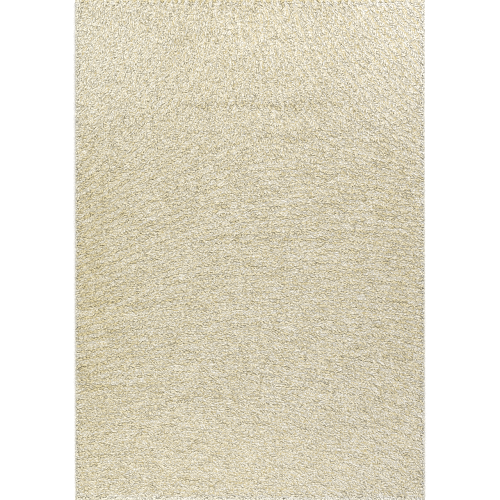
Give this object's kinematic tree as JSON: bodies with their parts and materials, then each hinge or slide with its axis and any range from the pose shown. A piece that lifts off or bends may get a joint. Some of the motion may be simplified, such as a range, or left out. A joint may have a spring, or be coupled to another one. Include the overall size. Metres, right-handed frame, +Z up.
{
  "type": "shag rug",
  "caption": "Rectangular cream shag pile rug lying flat, with a lumpy pile top, a flat underside and loose pile locks standing out all round its rim.",
  "frame": {"origin": "on the floor, under the middle of the rug", "axes": "+Y along the rug's length, +X across its width, +Z up out of the pile"},
  "size_m": [1.4, 2, 0.033],
  "materials": {
    "pile": "matte cut shag pile, cream at the yarn tips and olive beige in the gaps"
  },
  "bodies": {
    "root": {"shag_rug": "pile"}
  },
  "joints": []
}
